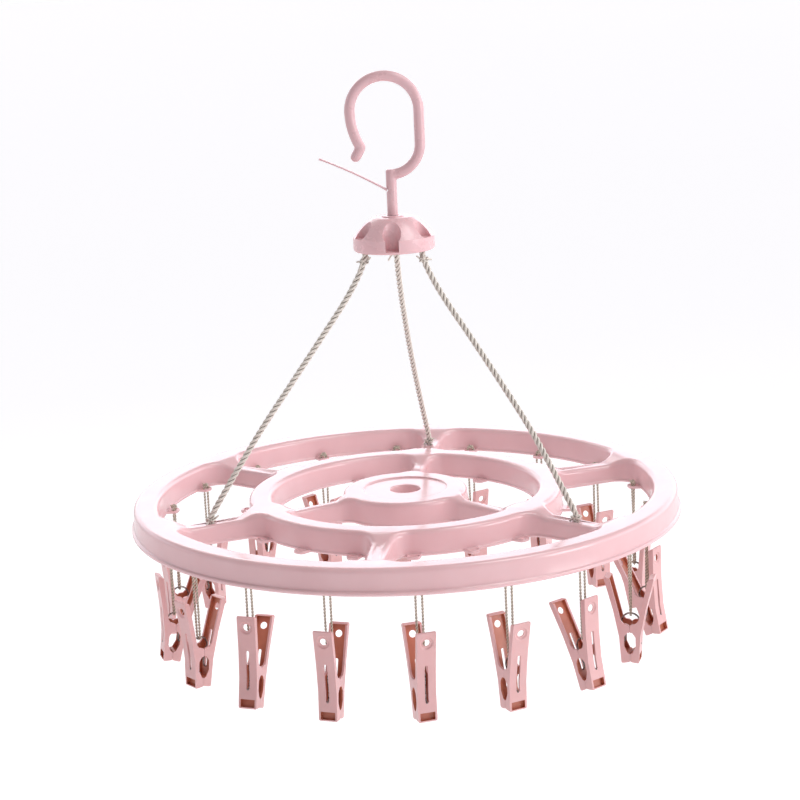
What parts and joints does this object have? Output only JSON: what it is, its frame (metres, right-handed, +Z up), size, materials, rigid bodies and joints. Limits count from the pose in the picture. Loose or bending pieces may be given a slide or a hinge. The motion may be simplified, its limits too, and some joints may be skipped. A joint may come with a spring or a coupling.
{
  "type": "clip drying hanger",
  "caption": "Round drying hanger: a spoked double-ring frame hung by three ropes from a swivelling hook, with spring pegs on short cords around its rim.",
  "frame": {"origin": "the middle of the inside of the hook's top bend, where it rests on the rail that holds it up", "axes": "+Z is up along the hook's stem and the swivel; -Y is the front; the hook's bend lies in the X-Z plane and opens to -X"},
  "size_m": [0.38, 0.38, 0.3938],
  "materials": {
    "hook_plastic": "satin moulded pink",
    "frame_plastic": "glossy moulded pink",
    "peg_plastic": "satin moulded pink",
    "suspension_rope": "twisted cream fibre",
    "peg_cord": "twisted beige fibre, with a steel spring wire"
  },
  "bodies": {
    "hook_body": {"hook": "hook_plastic", "swivel_retainer": "hook_plastic"},
    "strap_body": {"wind_strap": "hook_plastic"},
    "hanging_body": {"suspension_cap": "frame_plastic", "suspension_ropes": "suspension_rope", "ring_frame": "frame_plastic"},
    "peg_01_body": {"peg_01_hanger": "peg_cord", "peg_01_leg_near": "peg_plastic"},
    "peg_01_jaw": {"peg_01_leg_far": "peg_plastic"},
    "peg_02_body": {"peg_02_hanger": "peg_cord", "peg_02_leg_near": "peg_plastic"},
    "peg_02_jaw": {"peg_02_leg_far": "peg_plastic"},
    "peg_03_body": {"peg_03_hanger": "peg_cord", "peg_03_leg_near": "peg_plastic"},
    "peg_03_jaw": {"peg_03_leg_far": "peg_plastic"},
    "peg_04_body": {"peg_04_hanger": "peg_cord", "peg_04_leg_near": "peg_plastic"},
    "peg_04_jaw": {"peg_04_leg_far": "peg_plastic"},
    "peg_05_body": {"peg_05_hanger": "peg_cord", "peg_05_leg_near": "peg_plastic"},
    "peg_05_jaw": {"peg_05_leg_far": "peg_plastic"},
    "peg_06_body": {"peg_06_hanger": "peg_cord", "peg_06_leg_near": "peg_plastic"},
    "peg_06_jaw": {"peg_06_leg_far": "peg_plastic"},
    "peg_07_body": {"peg_07_hanger": "peg_cord", "peg_07_leg_near": "peg_plastic"},
    "peg_07_jaw": {"peg_07_leg_far": "peg_plastic"},
    "peg_08_body": {"peg_08_hanger": "peg_cord", "peg_08_leg_near": "peg_plastic"},
    "peg_08_jaw": {"peg_08_leg_far": "peg_plastic"},
    "peg_09_body": {"peg_09_hanger": "peg_cord", "peg_09_leg_near": "peg_plastic"},
    "peg_09_jaw": {"peg_09_leg_far": "peg_plastic"},
    "peg_10_body": {"peg_10_hanger": "peg_cord", "peg_10_leg_near": "peg_plastic"},
    "peg_10_jaw": {"peg_10_leg_far": "peg_plastic"},
    "peg_11_body": {"peg_11_hanger": "peg_cord", "peg_11_leg_near": "peg_plastic"},
    "peg_11_jaw": {"peg_11_leg_far": "peg_plastic"},
    "peg_12_body": {"peg_12_hanger": "peg_cord", "peg_12_leg_near": "peg_plastic"},
    "peg_12_jaw": {"peg_12_leg_far": "peg_plastic"},
    "peg_13_body": {"peg_13_hanger": "peg_cord", "peg_13_leg_near": "peg_plastic"},
    "peg_13_jaw": {"peg_13_leg_far": "peg_plastic"},
    "peg_14_body": {"peg_14_hanger": "peg_cord", "peg_14_leg_near": "peg_plastic"},
    "peg_14_jaw": {"peg_14_leg_far": "peg_plastic"},
    "peg_15_body": {"peg_15_hanger": "peg_cord", "peg_15_leg_near": "peg_plastic"},
    "peg_15_jaw": {"peg_15_leg_far": "peg_plastic"},
    "peg_16_body": {"peg_16_hanger": "peg_cord", "peg_16_leg_near": "peg_plastic"},
    "peg_16_jaw": {"peg_16_leg_far": "peg_plastic"},
    "peg_17_body": {"peg_17_hanger": "peg_cord", "peg_17_leg_near": "peg_plastic"},
    "peg_17_jaw": {"peg_17_leg_far": "peg_plastic"},
    "peg_18_body": {"peg_18_hanger": "peg_cord", "peg_18_leg_near": "peg_plastic"},
    "peg_18_jaw": {"peg_18_leg_far": "peg_plastic"}
  },
  "joints": [
    {"name": "frame_swivel", "type": "hinge", "parent": "hook_body", "child": "hanging_body", "pos_m": [0, 0, -0.0903], "axis": [0, 0, 1], "continuous": true},
    {"name": "strap_flex", "type": "hinge", "parent": "hook_body", "child": "strap_body", "pos_m": [-0.003, 0, -0.0723], "axis": [0, 1, 0], "range_deg": [-60, 4], "stiffness_Nm_per_rad": 0.02},
    {"name": "peg_01_swing", "type": "hinge", "parent": "hanging_body", "child": "peg_01_body", "pos_m": [0.00521, -0.16592, -0.296], "axis": [0.9995, 0.0314, 0], "range_deg": [-20, 20]},
    {"name": "peg_01_squeeze", "type": "hinge", "parent": "peg_01_body", "child": "peg_01_jaw", "pos_m": [0.00521, -0.16592, -0.3586], "axis": [0.9563, 0.2924, 0], "range_deg": [0, 16], "stiffness_Nm_per_rad": 0.02, "springref_deg": -20.05},
    {"name": "peg_02_swing", "type": "hinge", "parent": "hanging_body", "child": "peg_02_body", "pos_m": [0.06165, -0.15413, -0.296], "axis": [0.9285, 0.3714, 0], "range_deg": [-20, 20]},
    {"name": "peg_02_squeeze", "type": "hinge", "parent": "peg_02_body", "child": "peg_02_jaw", "pos_m": [0.06165, -0.15413, -0.3586], "axis": [0.8829, 0.4695, 0], "range_deg": [0, 16], "stiffness_Nm_per_rad": 0.02, "springref_deg": -20.05},
    {"name": "peg_03_swing", "type": "hinge", "parent": "hanging_body", "child": "peg_03_body", "pos_m": [0.11064, -0.12375, -0.296], "axis": [0.7455, 0.6665, 0], "range_deg": [-20, 20]},
    {"name": "peg_03_squeeze", "type": "hinge", "parent": "peg_03_body", "child": "peg_03_jaw", "pos_m": [0.11064, -0.12375, -0.3586], "axis": [0.7547, 0.6561, 0], "range_deg": [0, 16], "stiffness_Nm_per_rad": 0.02, "springref_deg": -20.05},
    {"name": "peg_04_swing", "type": "hinge", "parent": "hanging_body", "child": "peg_04_body", "pos_m": [0.1463, -0.07844, -0.296], "axis": [0.4726, 0.8813, 0], "range_deg": [-20, 20]},
    {"name": "peg_04_squeeze", "type": "hinge", "parent": "peg_04_body", "child": "peg_04_jaw", "pos_m": [0.1463, -0.07844, -0.3586], "axis": [0.2756, 0.9613, 0], "range_deg": [0, 16], "stiffness_Nm_per_rad": 0.02, "springref_deg": -20.05},
    {"name": "peg_05_swing", "type": "hinge", "parent": "hanging_body", "child": "peg_05_body", "pos_m": [0.1643, -0.02368, -0.296], "axis": [0.1426, 0.9898, 0], "range_deg": [-20, 20]},
    {"name": "peg_05_squeeze", "type": "hinge", "parent": "peg_05_body", "child": "peg_05_jaw", "pos_m": [0.1643, -0.02368, -0.3586], "axis": [0.5592, 0.829, 0], "range_deg": [0, 16], "stiffness_Nm_per_rad": 0.02, "springref_deg": -20.05},
    {"name": "peg_06_swing", "type": "hinge", "parent": "hanging_body", "child": "peg_06_body", "pos_m": [0.16249, 0.03395, -0.296], "axis": [-0.2045, 0.9789, 0], "range_deg": [-20, 20]},
    {"name": "peg_06_squeeze", "type": "hinge", "parent": "peg_06_body", "child": "peg_06_jaw", "pos_m": [0.16249, 0.03395, -0.3586], "axis": [0.5, 0.866, 0], "range_deg": [0, 16], "stiffness_Nm_per_rad": 0.02, "springref_deg": -20.05},
    {"name": "peg_07_swing", "type": "hinge", "parent": "hanging_body", "child": "peg_07_body", "pos_m": [0.14108, 0.08747, -0.296], "axis": [-0.527, 0.8499, 0], "range_deg": [-20, 20]},
    {"name": "peg_07_squeeze", "type": "hinge", "parent": "peg_07_body", "child": "peg_07_jaw", "pos_m": [0.14108, 0.08747, -0.3586], "axis": [0.9063, 0.4226, 0], "range_deg": [0, 16], "stiffness_Nm_per_rad": 0.02, "springref_deg": -20.05},
    {"name": "peg_08_swing", "type": "hinge", "parent": "hanging_body", "child": "peg_08_body", "pos_m": [0.10266, 0.13045, -0.296], "axis": [-0.7859, 0.6184, 0], "range_deg": [-20, 20]},
    {"name": "peg_08_squeeze", "type": "hinge", "parent": "peg_08_body", "child": "peg_08_jaw", "pos_m": [0.10266, 0.13045, -0.3586], "axis": [0.9397, -0.342, 0], "range_deg": [0, 16], "stiffness_Nm_per_rad": 0.02, "springref_deg": -20.05},
    {"name": "peg_09_swing", "type": "hinge", "parent": "hanging_body", "child": "peg_09_body", "pos_m": [0.05185, 0.1577, -0.296], "axis": [-0.95, 0.3123, 0], "range_deg": [-20, 20]},
    {"name": "peg_09_squeeze", "type": "hinge", "parent": "peg_09_body", "child": "peg_09_jaw", "pos_m": [0.05185, 0.1577, -0.3586], "axis": [0.8192, 0.5736, 0], "range_deg": [0, 16], "stiffness_Nm_per_rad": 0.02, "springref_deg": -20.05},
    {"name": "peg_10_swing", "type": "hinge", "parent": "hanging_body", "child": "peg_10_body", "pos_m": [-0.00521, 0.16592, -0.296], "axis": [-0.9995, -0.0314, 0], "range_deg": [-20, 20]},
    {"name": "peg_10_squeeze", "type": "hinge", "parent": "peg_10_body", "child": "peg_10_jaw", "pos_m": [-0.00521, 0.16592, -0.3586], "axis": [0.1736, 0.9848, 0], "range_deg": [0, 16], "stiffness_Nm_per_rad": 0.02, "springref_deg": -20.05},
    {"name": "peg_11_swing", "type": "hinge", "parent": "hanging_body", "child": "peg_11_body", "pos_m": [-0.06165, 0.15413, -0.296], "axis": [-0.9285, -0.3714, 0], "range_deg": [-20, 20]},
    {"name": "peg_11_squeeze", "type": "hinge", "parent": "peg_11_body", "child": "peg_11_jaw", "pos_m": [-0.06165, 0.15413, -0.3586], "axis": [0.6428, 0.766, 0], "range_deg": [0, 16], "stiffness_Nm_per_rad": 0.02, "springref_deg": -20.05},
    {"name": "peg_12_swing", "type": "hinge", "parent": "hanging_body", "child": "peg_12_body", "pos_m": [-0.11064, 0.12375, -0.296], "axis": [-0.7455, -0.6665, 0], "range_deg": [-20, 20]},
    {"name": "peg_12_squeeze", "type": "hinge", "parent": "peg_12_body", "child": "peg_12_jaw", "pos_m": [-0.11064, 0.12375, -0.3586], "axis": [0.866, -0.5, 0], "range_deg": [0, 16], "stiffness_Nm_per_rad": 0.02, "springref_deg": -20.05},
    {"name": "peg_13_swing", "type": "hinge", "parent": "hanging_body", "child": "peg_13_body", "pos_m": [-0.1463, 0.07844, -0.296], "axis": [-0.4726, -0.8813, 0], "range_deg": [-20, 20]},
    {"name": "peg_13_squeeze", "type": "hinge", "parent": "peg_13_body", "child": "peg_13_jaw", "pos_m": [-0.1463, 0.07844, -0.3586], "axis": [0.342, 0.9397, 0], "range_deg": [0, 16], "stiffness_Nm_per_rad": 0.02, "springref_deg": -20.05},
    {"name": "peg_14_swing", "type": "hinge", "parent": "hanging_body", "child": "peg_14_body", "pos_m": [-0.1643, 0.02368, -0.296], "axis": [-0.1426, -0.9898, 0], "range_deg": [-20, 20]},
    {"name": "peg_14_squeeze", "type": "hinge", "parent": "peg_14_body", "child": "peg_14_jaw", "pos_m": [-0.1643, 0.02368, -0.3586], "axis": [0.4226, -0.9063, 0], "range_deg": [0, 16], "stiffness_Nm_per_rad": 0.02, "springref_deg": -20.05},
    {"name": "peg_15_swing", "type": "hinge", "parent": "hanging_body", "child": "peg_15_body", "pos_m": [-0.16249, -0.03395, -0.296], "axis": [0.2045, -0.9789, 0], "range_deg": [-20, 20]},
    {"name": "peg_15_squeeze", "type": "hinge", "parent": "peg_15_body", "child": "peg_15_jaw", "pos_m": [-0.16249, -0.03395, -0.3586], "axis": [0.309, -0.9511, 0], "range_deg": [0, 16], "stiffness_Nm_per_rad": 0.02, "springref_deg": -20.05},
    {"name": "peg_16_swing", "type": "hinge", "parent": "hanging_body", "child": "peg_16_body", "pos_m": [-0.14108, -0.08747, -0.296], "axis": [0.527, -0.8499, 0], "range_deg": [-20, 20]},
    {"name": "peg_16_squeeze", "type": "hinge", "parent": "peg_16_body", "child": "peg_16_jaw", "pos_m": [-0.14108, -0.08747, -0.3586], "axis": [0.6428, -0.766, 0], "range_deg": [0, 16], "stiffness_Nm_per_rad": 0.02, "springref_deg": -20.05},
    {"name": "peg_17_swing", "type": "hinge", "parent": "hanging_body", "child": "peg_17_body", "pos_m": [-0.10266, -0.13045, -0.296], "axis": [0.7859, -0.6184, 0], "range_deg": [-20, 20]},
    {"name": "peg_17_squeeze", "type": "hinge", "parent": "peg_17_body", "child": "peg_17_jaw", "pos_m": [-0.10266, -0.13045, -0.3586], "axis": [0.9397, -0.342, 0], "range_deg": [0, 16], "stiffness_Nm_per_rad": 0.02, "springref_deg": -20.05},
    {"name": "peg_18_swing", "type": "hinge", "parent": "hanging_body", "child": "peg_18_body", "pos_m": [-0.05185, -0.1577, -0.296], "axis": [0.95, -0.3123, 0], "range_deg": [-20, 20]},
    {"name": "peg_18_squeeze", "type": "hinge", "parent": "peg_18_body", "child": "peg_18_jaw", "pos_m": [-0.05185, -0.1577, -0.3586], "axis": [0.9455, -0.3256, 0], "range_deg": [0, 16], "stiffness_Nm_per_rad": 0.02, "springref_deg": -20.05}
  ]
}
